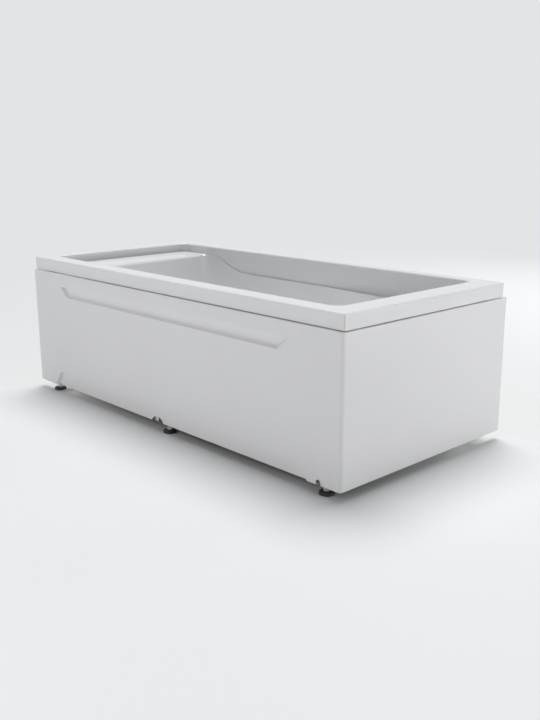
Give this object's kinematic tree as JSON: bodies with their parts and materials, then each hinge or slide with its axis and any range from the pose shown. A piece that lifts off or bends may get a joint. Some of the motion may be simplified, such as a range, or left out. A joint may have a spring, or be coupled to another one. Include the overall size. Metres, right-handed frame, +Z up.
{
  "type": "built-in bathtub with panels",
  "caption": "Rectangular built-in bath with a moulded front panel, a plain end panel, a welded support frame on screw feet, and a waste with turning overflow.",
  "frame": {"origin": "on the floor under the centre of the overall plan", "axes": "+X along the bath toward the waste and the end panel, +Y from the front panel to the wall side, +Z up"},
  "size_m": [1.703, 0.803, 0.545],
  "materials": {
    "bath_acrylic": "glossy white acrylic",
    "panel_acrylic": "satin gloss white acrylic",
    "board": "raw chipboard",
    "frame_steel": "grey powder coat",
    "zinc_steel": "bright zinc plating",
    "insert_plastic": "matt black",
    "foot_rubber": "matt black",
    "chrome": "polished",
    "seal_rubber": "matt black",
    "drain_plastic": "matt white"
  },
  "bodies": {
    "bath": {"tub_shell": "bath_acrylic", "front_panel": "panel_acrylic", "end_panel": "panel_acrylic", "base_board": "board", "frame_posts": "frame_steel", "frame_cross_bars": "frame_steel", "frame_long_rails": "frame_steel", "frame_side_rails": "frame_steel", "rim_rails": "frame_steel", "panel_tabs": "frame_steel", "panel_brackets": "zinc_steel", "end_stays": "frame_steel", "panel_screws": "zinc_steel", "foot_inserts": "insert_plastic", "lock_nuts": "zinc_steel", "waste_flange": "chrome", "waste_gasket": "seal_rubber", "waste_body": "drain_plastic", "trap": "drain_plastic", "trap_nut": "drain_plastic", "overflow_plate": "chrome", "overflow_seal": "seal_rubber", "overflow_gasket": "seal_rubber", "overflow_elbow": "drain_plastic", "overflow_pipe": "drain_plastic"},
    "foot_left_front": {"foot_bolt_left_front": "zinc_steel", "foot_pad_left_front": "foot_rubber"},
    "foot_left_back": {"foot_bolt_left_back": "zinc_steel", "foot_pad_left_back": "foot_rubber"},
    "foot_middle_front": {"foot_bolt_middle_front": "zinc_steel", "foot_pad_middle_front": "foot_rubber"},
    "foot_middle_back": {"foot_bolt_middle_back": "zinc_steel", "foot_pad_middle_back": "foot_rubber"},
    "foot_right_front": {"foot_bolt_right_front": "zinc_steel", "foot_pad_right_front": "foot_rubber"},
    "foot_right_back": {"foot_bolt_right_back": "zinc_steel", "foot_pad_right_back": "foot_rubber"},
    "knob": {"overflow_knob": "chrome"},
    "plug": {"plug": "chrome", "plug_seal": "seal_rubber"}
  },
  "joints": [
    {"name": "foot_left_front_height", "type": "slide", "parent": "bath", "child": "foot_left_front", "axis": [0, 0, 1], "range_m": [-0.02, 0.012]},
    {"name": "foot_left_back_height", "type": "slide", "parent": "bath", "child": "foot_left_back", "axis": [0, 0, 1], "range_m": [-0.02, 0.012]},
    {"name": "foot_middle_front_height", "type": "slide", "parent": "bath", "child": "foot_middle_front", "axis": [0, 0, 1], "range_m": [-0.02, 0.012]},
    {"name": "foot_middle_back_height", "type": "slide", "parent": "bath", "child": "foot_middle_back", "axis": [0, 0, 1], "range_m": [-0.02, 0.012]},
    {"name": "foot_right_front_height", "type": "slide", "parent": "bath", "child": "foot_right_front", "axis": [0, 0, 1], "range_m": [-0.02, 0.012]},
    {"name": "foot_right_back_height", "type": "slide", "parent": "bath", "child": "foot_right_back", "axis": [0, 0, 1], "range_m": [-0.02, 0.012]},
    {"name": "knob_turn", "type": "hinge", "parent": "bath", "child": "knob", "pos_m": [0.74, 0.008, 0.495], "axis": [1, 0, 0], "range_deg": [0, 90]},
    {"name": "plug_lift", "type": "slide", "parent": "bath", "child": "plug", "axis": [0, 0, 1], "range_m": [0, 0.01]}
  ],
  "couplings": [
    {"joint": "plug_lift", "follows": "knob_turn", "m_per_rad": 0.006366}
  ]
}
